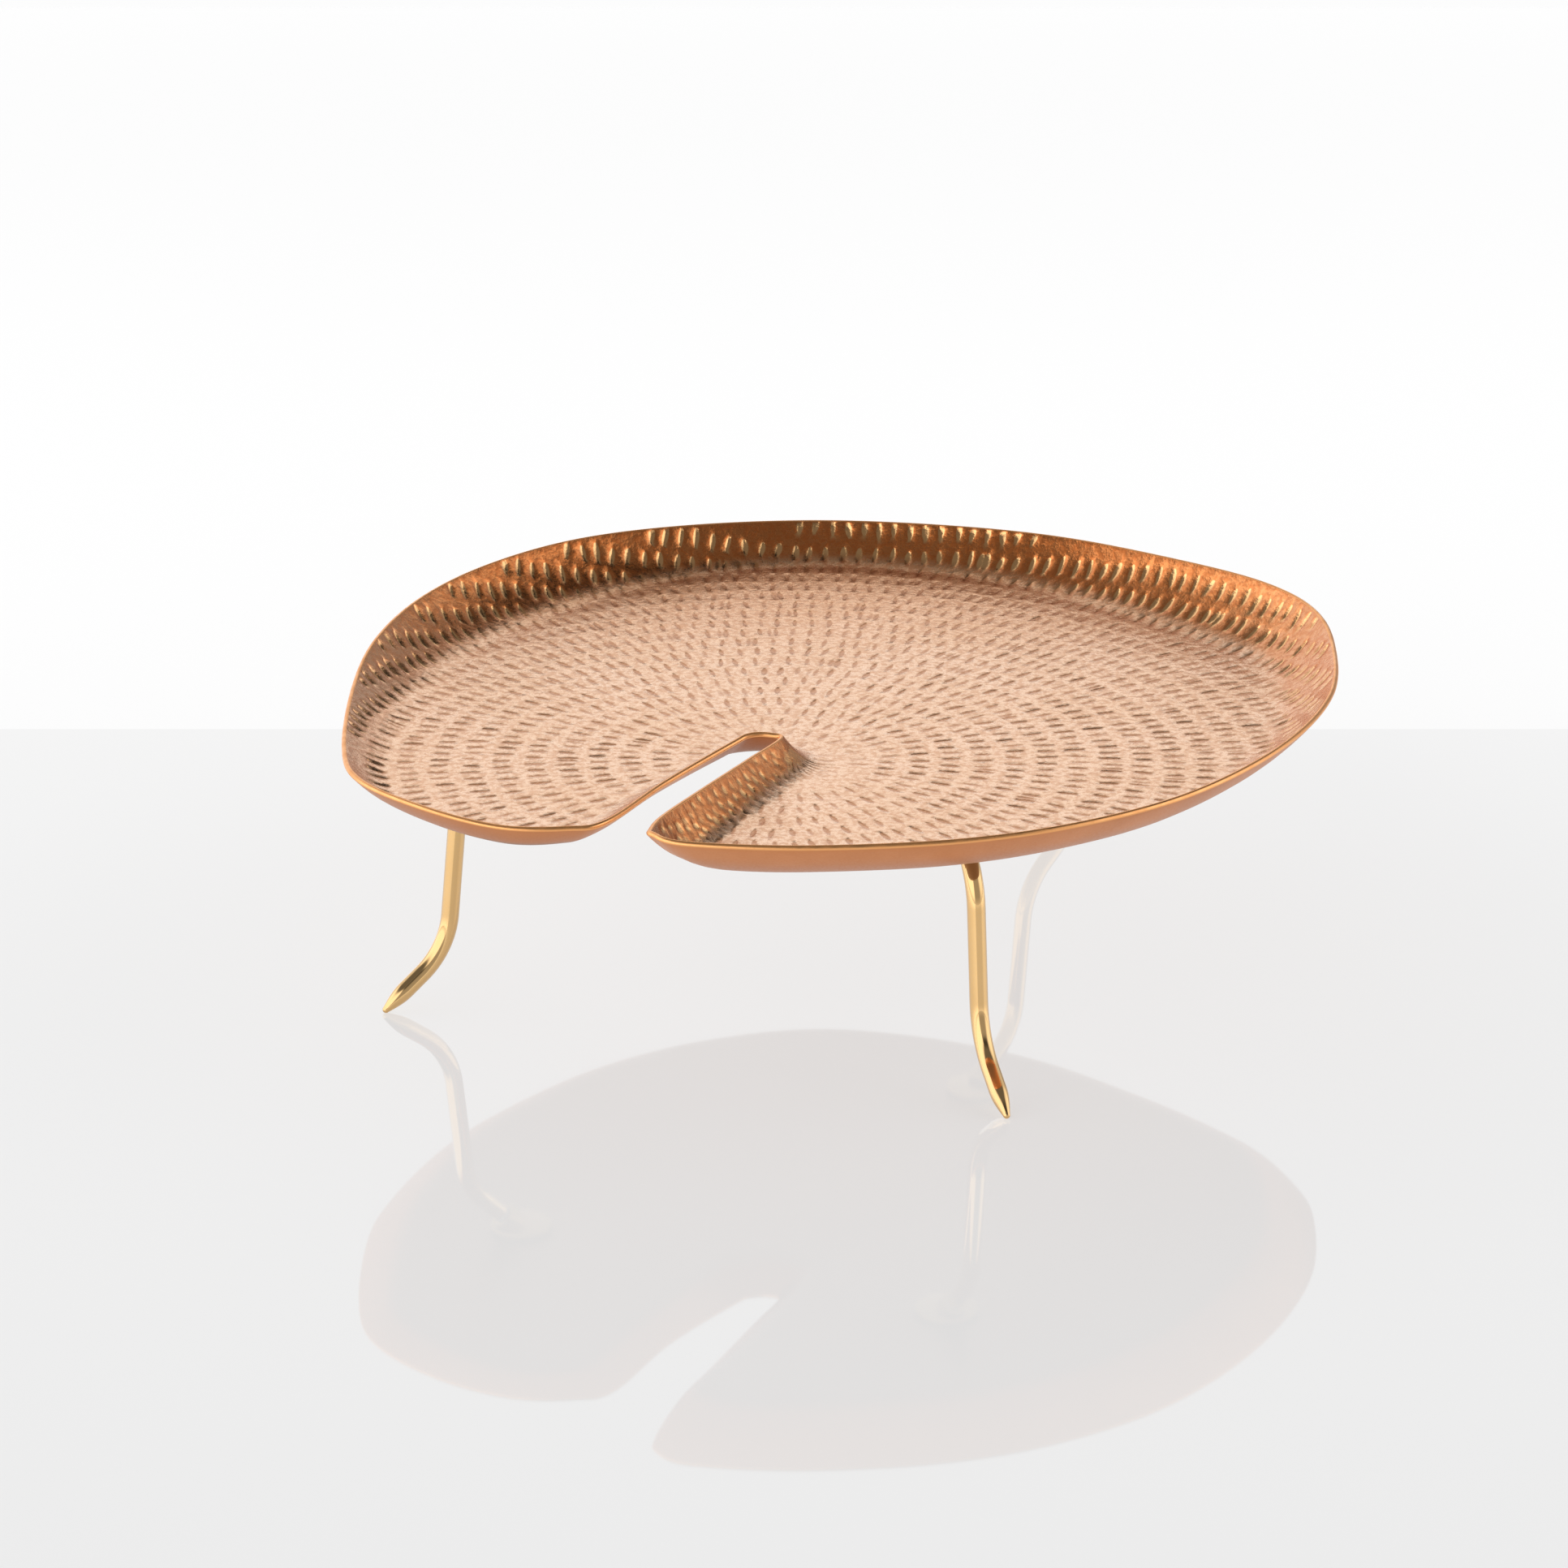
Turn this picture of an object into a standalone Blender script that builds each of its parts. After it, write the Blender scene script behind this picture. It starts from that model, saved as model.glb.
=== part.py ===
"""Leaf tray table: a lily-pad shaped serving tray on three bent brass rod legs.

Units are metres and +Z is up. The origin is on the supporting surface under the
middle of the tray, and the notch of the leaf opens towards -Y.
"""

import math

import bmesh
import bpy
from mathutils import Matrix, Vector

MM = 0.001

# ---- driving dimensions -------------------------------------------------------
FLOOR_TOP = 0.1295  # upper face of the tray's flat floor
SHELL = 0.0026  # thickness of the cast shell
RIM_BENDS = 144  # stations along the outline of the leaf
WALL_STEPS = (0.0, 0.14, 0.3, 0.5, 0.74, 1.0)  # from the rim to the floor, of the wall's run

ROD_RADIUS = 0.00425
TIP_RADIUS = 0.0017
TIP_TAPER = 0.016  # length over which a leg narrows to its tip
ANKLE = (0.0350, 0.0261)  # corner of the leg's axis: distance in from the tip, height
ANKLE_BEND = 0.039
KNEE = (0.0425, 0.0985)
KNEE_BEND = 0.035
STUB_TILT = math.radians(45)  # the stub's axis, above the horizontal

SOCKET_REACH = 0.014  # from the tray's underside to the socket's end face, along the stub
SOCKET_RADIUS = 0.0062
FLANGE_RADIUS = 0.015
FLANGE_HEIGHT = 0.0032
STUD_RADIUS = 0.002
STUD_IN_SOCKET = 0.0085
STUD_IN_LEG = 0.010
WASHER_THICKNESS = 0.0008
GAP = 0.0003  # clearance left between pieces that touch

UNDERSIDE = FLOOR_TOP - SHELL

# name of the leg, where its tip stands, and the compass direction in which it splays
LEGS = (
    ("left", (-0.218, -0.066), math.radians(210)),
    ("right", (0.070, -0.189), math.radians(290)),
    ("back", (0.118, 0.187), math.radians(45)),
)

# The leaf, anticlockwise from the tip of the right lobe, in millimetres. Each row is
# a point of the rim (x, y, z) and the point where its wall has run out into the floor.
LEAF = (
    ((-86, -221, 150), (-58, -196)),
    ((-72, -232, 150), (-46, -204)),
    ((-20, -237, 150), (-17, -205)),
    ((45, -229, 150), (37, -198)),
    ((100, -207, 150), (83, -179)),
    ((150, -169, 150), (126, -147)),
    ((194, -109, 150), (165, -95)),
    ((222, -41, 150), (190, -35)),
    ((230, 26, 151), (194, 25)),
    ((225, 72, 154), (190, 65)),
    ((204, 111, 155), (172, 91)),
    ((164, 154, 153), (141, 127)),
    ((109, 200, 150), (95, 171)),
    ((50, 226, 148), (44, 200)),
    ((-15, 237, 147), (-14, 212)),
    ((-80, 222, 149), (-72, 195)),
    ((-134, 193, 151), (-115, 163)),
    ((-176, 149, 152), (-148, 124)),
    ((-206, 100, 151), (-173, 86)),
    ((-224, 44, 149), (-190, 40)),
    ((-231, -10, 144), (-201, -11)),
    ((-230, -84, 141), (-204, -79)),
    ((-220, -128, 141), (-203, -118)),
    ((-190, -163, 141), (-180, -152)),
    ((-155, -185, 140), (-151, -174)),
    ((-125, -187, 140), (-129, -173)),
    ((-108, -179, 140), (-122, -162)),
    ((-84, -131, 140), (-101, -121)),
    ((-54, -84, 142), (-71, -73)),
    ((-46, -75, 143), (-57, -56)),
    ((-37, -74, 143), (-31, -54)),
    ((-31, -81, 143), (-12, -75)),
    ((-46, -113, 144), (-28, -121)),
    ((-66, -157, 146), (-47, -164)),
    ((-82, -195, 148), (-60, -185)),
    ((-87, -214, 149), (-61, -192)),
)


# ---- scene and materials ------------------------------------------------------
def clear_scene():
    for obj in list(bpy.data.objects):
        bpy.data.objects.remove(obj, do_unlink=True)


def new_collection(name):
    collection = bpy.data.collections.new(name)
    bpy.context.scene.collection.children.link(collection)
    return collection


def metal(name, colour, roughness):
    material = bpy.data.materials.new(name)
    material.use_nodes = True
    shader = material.node_tree.nodes["Principled BSDF"]
    shader.inputs["Base Color"].default_value = (*colour, 1.0)
    shader.inputs["Roughness"].default_value = roughness
    shader.inputs["Metallic"].default_value = 1.0
    return material


def new_object(name, mesh, collection, material=None, smooth_angle=math.radians(35)):
    obj = bpy.data.objects.new(name, mesh)
    collection.objects.link(obj)
    if material:
        mesh.materials.append(material)
        mesh.shade_smooth()
        mesh.set_sharp_from_angle(angle=smooth_angle)
    return obj


def make_cutter(name, mesh, matrix):
    obj = new_object(name, mesh, cutters)
    obj.matrix_world = matrix
    obj.display_type = "WIRE"
    obj.hide_render = True
    return obj


def add_boolean(obj, other, operation):
    modifier = obj.modifiers.new(f"{operation.lower()}_{other.name}", "BOOLEAN")
    modifier.operation = operation
    modifier.solver = "EXACT"
    modifier.object = other


# ---- curves -------------------------------------------------------------------
def smooth_loop(points, count):
    """`count` points along the closed Catmull-Rom curve through `points`, evenly by knot."""
    total = len(points)
    loop = []
    for step in range(count):
        place = step * total / count
        index = int(place)
        t = place - index
        before, start, end, after = (points[(index + k) % total] for k in (-1, 0, 1, 2))
        loop.append(
            0.5
            * (
                2 * start
                + (end - before) * t
                + (2 * before - 5 * start + 4 * end - after) * t**2
                + (3 * start - before - 3 * end + after) * t**3
            )
        )
    return loop


def fillet(corner, before, after, radius, steps):
    """Points of the arc that rounds `corner`, from the `before` side to the `after` side."""
    inward = (before - corner).normalized()
    onward = (after - corner).normalized()
    half = inward.angle(onward) / 2
    reach = radius / math.tan(half)
    centre = corner + (inward + onward).normalized() * (radius / math.sin(half))
    start = corner + inward * reach - centre
    end = corner + onward * reach - centre
    sweep = start.angle(end)
    return [
        centre
        + (start * math.sin(sweep * (1 - k / steps)) + end * math.sin(sweep * k / steps))
        / math.sin(sweep)
        for k in range(steps + 1)
    ]


# ---- the leg's own frame: X runs in from the tip under the tray, Z up ---------
def stub_direction():
    """Unit vector up along the stub."""
    return Vector((math.cos(STUB_TILT), 0.0, math.sin(STUB_TILT)))


def stub_root():
    """Where the stub's axis meets the underside of the tray."""
    knee = Vector((KNEE[0], 0.0, KNEE[1]))
    return knee + stub_direction() * ((UNDERSIDE - KNEE[1]) / math.sin(STUB_TILT))


def stub_frame(distance):
    """Matrix at `distance` down the stub from the tray, with Z pointing up the stub."""
    place = stub_root() - stub_direction() * distance
    tilt = Matrix.Rotation(math.pi / 2 - STUB_TILT, 4, "Y")
    return Matrix.Translation(place) @ tilt


def leg_frame(tip, splay):
    return Matrix.Translation((*tip, 0.0)) @ Matrix.Rotation(splay + math.pi, 4, "Z")


LEG_END = SOCKET_REACH + WASHER_THICKNESS + 2 * GAP  # the leg's end face, down the stub


def leg_axis():
    """Points down the middle of a leg, from just below the tip to the end of the stub."""
    tip = Vector((0.0, 0.0, 0.0))
    ankle = Vector((ANKLE[0], 0.0, ANKLE[1]))
    knee = Vector((KNEE[0], 0.0, KNEE[1]))
    end = stub_root() - stub_direction() * LEG_END
    below = tip - ankle.normalized() * 3 * TIP_RADIUS
    taper = [ankle.normalized() * TIP_TAPER * k / 5 for k in range(6)]
    return [
        below,
        *taper,
        *fillet(ankle, tip, knee, ANKLE_BEND, 8),
        *fillet(knee, ankle, end, KNEE_BEND, 7),
        end,
    ]


def rod_scale(distance):
    """Thickness of the rod, of its full radius, at `distance` from the tip."""
    part = min(max(distance / TIP_TAPER, 0.0), 1.0)
    thin = TIP_RADIUS / ROD_RADIUS
    return thin + (1 - thin) * math.sin(part * math.pi / 2)


# ---- meshes -------------------------------------------------------------------
def cylinder_mesh(name, radius, low, high, segments, chamfer=0.0):
    """A cylinder along Z from `low` to `high`, with its ends chamfered if asked."""
    shape = bmesh.new()
    centre = Matrix.Translation((0, 0, (low + high) / 2))
    bmesh.ops.create_cone(
        shape, cap_ends=True, segments=segments, radius1=radius, radius2=radius,
        depth=high - low, matrix=centre,
    )
    if chamfer:
        ends = [e for e in shape.edges if abs(e.verts[0].co.z - e.verts[1].co.z) < 1e-6]
        bmesh.ops.bevel(shape, geom=ends, offset=chamfer, segments=1, affect="EDGES")
    mesh = bpy.data.meshes.new(name)
    shape.to_mesh(mesh)
    shape.free()
    return mesh


def tray_mesh():
    """The upper face of the leaf as an open sheet: a parabolic wall and a flat floor."""
    rim = smooth_loop([Vector(row[0]) * MM for row in LEAF], RIM_BENDS)
    foot = smooth_loop([Vector((*row[1], 0)) * MM for row in LEAF], RIM_BENDS)
    shape = bmesh.new()
    loops = []
    for step in WALL_STEPS:
        loop = []
        for edge, base in zip(rim, foot):
            rise = (edge.z - FLOOR_TOP) * (1 - step) ** 2
            across = edge.xy.lerp(base.xy, step)
            loop.append(shape.verts.new((across.x, across.y, FLOOR_TOP + rise)))
        loops.append(loop)
    for outer, inner in zip(loops, loops[1:]):
        for k in range(RIM_BENDS):
            after = (k + 1) % RIM_BENDS
            shape.faces.new((outer[k], outer[after], inner[after], inner[k]))
    shape.faces.new(loops[-1])
    mesh = bpy.data.meshes.new("tray")
    shape.to_mesh(mesh)
    shape.free()
    return mesh


def rod_mesh(name):
    """The bent, tapered rod as a mesh, from a bevelled curve whose caps are welded on."""
    axis = leg_axis()
    curve = bpy.data.curves.new(name, "CURVE")
    curve.dimensions = "3D"
    curve.bevel_depth = ROD_RADIUS
    curve.bevel_resolution = 2
    curve.use_fill_caps = True
    spline = curve.splines.new("POLY")
    spline.points.add(len(axis) - 1)
    for point, place in zip(spline.points, axis):
        point.co = (*place, 1.0)
        point.radius = rod_scale(place.length if place.z > 0 else 0.0)
    guide = bpy.data.objects.new(name, curve)
    cutters.objects.link(guide)
    graph = bpy.context.evaluated_depsgraph_get()
    mesh = bpy.data.meshes.new_from_object(guide.evaluated_get(graph))
    bpy.data.objects.remove(guide, do_unlink=True)
    shape = bmesh.new()
    shape.from_mesh(mesh)
    bmesh.ops.remove_doubles(shape, verts=shape.verts, dist=0.00001)
    bmesh.ops.recalc_face_normals(shape, faces=shape.faces)
    shape.to_mesh(mesh)
    shape.free()
    return mesh


# ---- pieces -------------------------------------------------------------------
def build_tray():
    tray = new_object("tray", tray_mesh(), parts, copper)
    thicken = tray.modifiers.new("thickness", "SOLIDIFY")
    thicken.thickness = SHELL
    thicken.offset = -1.0
    thicken.use_even_offset = True


def build_leg(name, frame):
    leg = new_object(f"leg_{name}", rod_mesh(f"leg_{name}"), parts, brass)
    leg.matrix_world = frame
    ground = cylinder_mesh(f"ground_{name}", 0.02, -0.02, 0.0, 24)
    add_boolean(leg, make_cutter(f"ground_{name}", ground, frame), "DIFFERENCE")
    bore = cylinder_mesh(f"leg_bore_{name}", STUD_RADIUS + GAP, -STUD_IN_LEG - GAP, 0.002, 16)
    bore_frame = frame @ stub_frame(LEG_END)
    add_boolean(leg, make_cutter(f"leg_bore_{name}", bore, bore_frame), "DIFFERENCE")


def build_socket(name, frame):
    """A flange brazed under the tray, with an inclined boss that takes the leg's stud."""
    top = UNDERSIDE - GAP
    flange = cylinder_mesh(f"leg_socket_{name}", FLANGE_RADIUS, top - FLANGE_HEIGHT, top, 40)
    centre = frame @ Matrix.Translation((stub_root().x, 0, 0))
    socket = new_object(f"leg_socket_{name}", flange, parts, brass)
    socket.matrix_world = centre
    boss = cylinder_mesh(f"boss_{name}", SOCKET_RADIUS, 0.0, SOCKET_REACH, 32)
    boss_frame = frame @ stub_frame(SOCKET_REACH)
    add_boolean(socket, make_cutter(f"boss_{name}", boss, boss_frame), "UNION")
    shave = cylinder_mesh(f"shave_{name}", 2 * FLANGE_RADIUS, top, top + 0.02, 24)
    add_boolean(socket, make_cutter(f"shave_{name}", shave, centre), "DIFFERENCE")
    bore = cylinder_mesh(f"socket_bore_{name}", STUD_RADIUS + GAP, -0.002, STUD_IN_SOCKET + GAP, 16)
    add_boolean(socket, make_cutter(f"socket_bore_{name}", bore, boss_frame), "DIFFERENCE")


def build_stud(name, frame):
    low = -STUD_IN_LEG - (LEG_END - SOCKET_REACH)
    mesh = cylinder_mesh(f"leg_stud_{name}", STUD_RADIUS, low, STUD_IN_SOCKET, 16, 0.0004)
    stud = new_object(f"leg_stud_{name}", mesh, parts, steel)
    stud.matrix_world = frame @ stub_frame(SOCKET_REACH)


def build_washer(name, frame):
    mesh = cylinder_mesh(f"leg_washer_{name}", ROD_RADIUS, 0.0, WASHER_THICKNESS, 32)
    washer = new_object(f"leg_washer_{name}", mesh, parts, steel)
    washer.matrix_world = frame @ stub_frame(LEG_END - GAP)
    hole = cylinder_mesh(f"washer_hole_{name}", STUD_RADIUS + GAP, -0.001, 0.002, 16)
    add_boolean(washer, make_cutter(f"washer_hole_{name}", hole, washer.matrix_world), "DIFFERENCE")


clear_scene()
parts = new_collection("leaf_tray_table")
cutters = new_collection("cutters")
copper = metal("rose_copper", (0.80, 0.46, 0.30), 0.38)
brass = metal("polished_brass", (0.83, 0.58, 0.22), 0.12)
steel = metal("zinc_steel", (0.55, 0.56, 0.58), 0.35)

build_tray()
for leg_name, leg_tip, leg_splay in LEGS:
    place = leg_frame(leg_tip, leg_splay)
    build_leg(leg_name, place)
    build_socket(leg_name, place)
    build_stud(leg_name, place)
    build_washer(leg_name, place)
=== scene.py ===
import math
import random

import bmesh
import bpy
import numpy as np
from mathutils import Matrix, Vector, noise
from mathutils.bvhtree import BVHTree
from mathutils.geometry import delaunay_2d_cdt
from mathutils.kdtree import KDTree


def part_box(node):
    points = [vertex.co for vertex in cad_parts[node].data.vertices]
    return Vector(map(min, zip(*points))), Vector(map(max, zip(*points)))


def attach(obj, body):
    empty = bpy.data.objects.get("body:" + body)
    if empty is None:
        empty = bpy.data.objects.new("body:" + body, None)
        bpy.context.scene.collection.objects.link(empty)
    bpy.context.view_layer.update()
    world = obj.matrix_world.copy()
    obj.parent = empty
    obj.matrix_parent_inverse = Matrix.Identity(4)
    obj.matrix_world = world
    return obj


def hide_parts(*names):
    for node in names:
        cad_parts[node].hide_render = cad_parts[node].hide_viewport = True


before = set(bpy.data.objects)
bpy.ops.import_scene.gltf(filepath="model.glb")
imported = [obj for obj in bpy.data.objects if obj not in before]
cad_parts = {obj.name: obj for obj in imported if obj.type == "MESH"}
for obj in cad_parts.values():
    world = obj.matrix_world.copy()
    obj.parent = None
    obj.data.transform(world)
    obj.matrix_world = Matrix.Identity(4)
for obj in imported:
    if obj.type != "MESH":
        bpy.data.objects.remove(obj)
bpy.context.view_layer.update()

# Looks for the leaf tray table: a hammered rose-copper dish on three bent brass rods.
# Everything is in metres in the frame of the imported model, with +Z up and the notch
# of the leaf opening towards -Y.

MM = 0.001
SEED = 20


# ---- sizes shared with the CAD model --------------------------------------------
SHELL = 0.0026  # thickness of the cast shell
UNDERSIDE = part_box("leg_socket_left")[1].z + 0.0003  # the sockets end 0.3 mm below it
FLOOR_TOP = UNDERSIDE + SHELL

ROD_RADIUS = 0.00425
TIP_RADIUS = 0.0017
TIP_TAPER = 0.016  # length over which a leg narrows to its tip
TIP_STEPS = 6  # of the rounded end
TAPER_STEPS = 12
LEG_EDGE = 0.0003  # bevel at a leg's upper end
ANKLE = Vector((0.0350, 0.0, 0.0261))  # corner of the leg's axis, in from the tip
ANKLE_BEND = 0.039
KNEE = Vector((0.0425, 0.0, 0.0985))
KNEE_BEND = 0.035
STUB_TILT = math.pi / 4
STUB = Vector((1.0, 0.0, 1.0)).normalized()  # direction up the stub, at that tilt
STUB_ROOT = KNEE + STUB * ((UNDERSIDE - KNEE.z) / STUB.z)
SOCKET_REACH = 0.014
SOCKET_RADIUS = 0.0062
FLANGE_RADIUS = 0.015
FLANGE_HEIGHT = 0.0032
BORE_RADIUS = 0.0023
BORE_DEPTH = 0.0088
BORE_EDGE = 0.0003
BOSS_START = 0.004  # down the stub from the tray, where the boss's upper end lies
SOCKET_SOFT = 0.0006  # rounding of the cast edges
FLANGE_EDGE = 0.0002  # bevel of the flange against the tray
WASHER_THICKNESS = 0.0008
GAP = 0.0003
LEG_END = SOCKET_REACH + WASHER_THICKNESS + 2 * GAP

# name of the leg, where its tip stands, and the compass direction in which it splays
LEGS = (
    ("left", (-0.218, -0.066), math.radians(210)),
    ("right", (0.070, -0.189), math.radians(290)),
    ("back", (0.118, 0.187), math.radians(45)),
)

# The leaf, anticlockwise from the tip of the right lobe, in millimetres. Each row is
# a point of the rim (x, y, z) and the point where its wall has run out into the floor.
LEAF = (
    ((-86, -221, 150), (-58, -196)),
    ((-72, -232, 150), (-46, -204)),
    ((-20, -237, 150), (-17, -205)),
    ((45, -229, 150), (37, -198)),
    ((100, -207, 150), (83, -179)),
    ((150, -169, 150), (126, -147)),
    ((194, -109, 150), (165, -95)),
    ((222, -41, 150), (190, -35)),
    ((230, 26, 151), (194, 25)),
    ((225, 72, 154), (190, 65)),
    ((204, 111, 155), (172, 91)),
    ((164, 154, 153), (141, 127)),
    ((109, 200, 150), (95, 171)),
    ((50, 226, 148), (44, 200)),
    ((-15, 237, 147), (-14, 212)),
    ((-80, 222, 149), (-72, 195)),
    ((-134, 193, 151), (-115, 163)),
    ((-176, 149, 152), (-148, 124)),
    ((-206, 100, 151), (-173, 86)),
    ((-224, 44, 149), (-190, 40)),
    ((-231, -10, 144), (-201, -11)),
    ((-230, -84, 141), (-204, -79)),
    ((-220, -128, 141), (-203, -118)),
    ((-190, -163, 141), (-180, -152)),
    ((-155, -185, 140), (-151, -174)),
    ((-125, -187, 140), (-129, -173)),
    ((-108, -179, 140), (-122, -162)),
    ((-84, -131, 140), (-101, -121)),
    ((-54, -84, 142), (-71, -73)),
    ((-46, -75, 143), (-57, -56)),
    ((-37, -74, 143), (-31, -54)),
    ((-31, -81, 143), (-12, -75)),
    ((-46, -113, 144), (-28, -121)),
    ((-66, -157, 146), (-47, -164)),
    ((-82, -195, 148), (-60, -185)),
    ((-87, -214, 149), (-61, -192)),
)

# ---- the hammered strokes -------------------------------------------------------
EYE = Vector((-0.034, -0.074))  # the strokes point at the inner end of the notch
RING_PITCH = 0.0145
RING_START = 0.0085  # distance of the first ring of strokes
RINGS = 26
STROKE_SPACING = 0.0083  # along a ring
STROKE_LENGTH = 0.0100
STROKE_WIDTH = 0.0035
STROKE_DEPTH = 0.00037
STROKE_TWIST = 0.07  # radians, the usual slip of a stroke's direction
TWIN_SHARE = 0.05  # of the strokes have a fainter one beside them
STEEP = 0.93  # a normal that rises less than this belongs to the steep wall
WALL_BOOST = 2.0  # the strokes on the steep wall are this much deeper
WALL_WIDENING = 1.12  # and this much wider
STROKE_REACH = 0.0065  # no stroke or pit reaches further from its middle

PIT_ROWS = (0.15, 0.35, 0.56)  # share of the way down the wall right of the notch
PIT_STEP = 5  # stations from one pit of a row to the next
NOTCH_WALL = (-0.055, -0.140, 0.140)  # the middle of that wall
CREASES = 9
CREASE_WIDTH = 0.0018
CREASE_DEPTH = 0.00016
FAN_CORNER = Vector((-0.031, -0.080))  # fine creases run down from this end of the notch
FAN_REACH = 0.034

NOTCH_LEFT_KNOTS = (25.4, 29.6)  # rows of LEAF along the notch's left edge
NOTCH_RIGHT_KNOTS = (31.3, 34.9)  # and along its right edge

# ---- the dish's mesh ------------------------------------------------------------
STATION_SPACING = 0.0015  # along the rim
FILL_SPACING = 0.0025  # of the points between strokes
FILL_CLEARANCE = 0.0012  # of such a point from the points of a stroke
STROKE_MARGIN = 0.0022  # the least distance of a stroke's middle from the rim
POINT_MARGIN = 0.0013  # the least distance of a stroke's points from the rim
FILL_MARGIN = 0.0018  # the least distance of the points between strokes from the rim
CALM_EDGE = 0.0025  # marks and waves die out over this distance from the rim
LIP_FILLET = 0.0010
LIP_CROWN = 0.00010
DISH, LIP, OUTSIDE = range(3)  # material slots of the dish

# the looks change from the floor's to the wall's between these two heights
WALL_LOW = FLOOR_TOP + 0.0002
WALL_HIGH = FLOOR_TOP + 0.0045

# ---- colours, as linear red, green and blue --------------------------------------
COPPER_TONES = ((0.96, 0.65, 0.45), (0.93, 0.61, 0.40))
COPPER_MOTTLE = (0.82, 0.45, 0.25)
COPPER_SPECKLE = (0.70, 0.35, 0.17)
BACK_SHADE_TINT = (0.89, 0.70, 0.50)  # painted shade: multiplies the copper darker towards the back
STROKE_SHADE = (0.50, 0.19, 0.06)  # painted shade: darkens the floor's strokes brown
WALL_SHADE_TINT = (0.80, 0.49, 0.27)  # painted shade and reflection: multiplies the copper darker on the wall, at the back and by the notch
GLINT_TINT = (0.97, 0.60, 0.27)  # painted highlight: the glints in the strokes of the wall
LIP_TONES = ((0.95, 0.47, 0.19), (0.90, 0.41, 0.15))
SATIN_TONES = ((0.73, 0.305, 0.125), (0.67, 0.27, 0.105))
SATIN_LOW = (0.58, 0.26, 0.14)  # towards the underside
NOTCH_SHADE_TINT = (0.62, 0.48, 0.34)  # painted shade: multiplies the satin outside darker at the notch's inner end, inside the narrow slot
UNDERSIDE_DARK = (0.34, 0.20, 0.14)  # darker on the underside
BRASS_TONES = ((0.73, 0.46, 0.19), (0.68, 0.42, 0.16))
TURNED_TONES = ((0.52, 0.34, 0.18), (0.44, 0.28, 0.14))
ZINC_TONES = ((0.60, 0.61, 0.63), (0.48, 0.49, 0.51))
WHITE = (1.0, 1.0, 1.0, 1.0)
TABLE_GREY = (0.30, 0.30, 0.30, 1.0)

# ---- camera and studio ----------------------------------------------------------
CAMERA_PLACE = (-0.030, -2.342, 0.953)
CAMERA_TILT = 0.353  # radians below the horizon
CAMERA_LENS = 121.1  # mm
CAMERA_SENSOR = 36.0  # mm wide
CAMERA_REACH = 50.0

TABLE_BACK = 2.2
TABLE_FRONT = -2.2
TABLE_SIDE = 2.2
TABLE_SEAM = 0.33  # the table top is a little paler just beyond this line
TABLE_GLOW = 0.57
SEAM_GLOW = 0.065  # is added to the glow just beyond the seam
BACK_GLOW = -0.06  # is added to the glow at the far edge

# Soft boxes and, with a negative strength, dark panels. Each row says where the panel
# stands, in radians round from -Y towards +X, half its width, its lowest and highest
# elevation, its blur and its strength.
PANELS = (
    (0.42, 0.60, 0.00, 0.80, 0.15, -0.58),  # dark, in front
    (-1.15, 0.95, 0.03, 0.74, 0.08, 0.80),  # soft box at the left
    (1.75, 0.55, 0.05, 0.84, 0.08, 0.50),  # soft box at the right
    (2.42, 0.42, -0.10, 1.00, 0.15, -0.74),  # dark, at the back right
)
DIMMEST = 0.02  # the light from the darkest direction


# ---- camera ---------------------------------------------------------------------
def add_camera():
    data = bpy.data.cameras.new("camera")
    data.sensor_width = CAMERA_SENSOR
    data.lens = CAMERA_LENS
    data.clip_end = CAMERA_REACH
    camera = bpy.data.objects.new("camera", data)
    camera.location = CAMERA_PLACE
    camera.rotation_euler = (math.pi / 2 - CAMERA_TILT, 0.0, 0.0)
    bpy.context.scene.collection.objects.link(camera)
    bpy.context.scene.camera = camera


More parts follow.
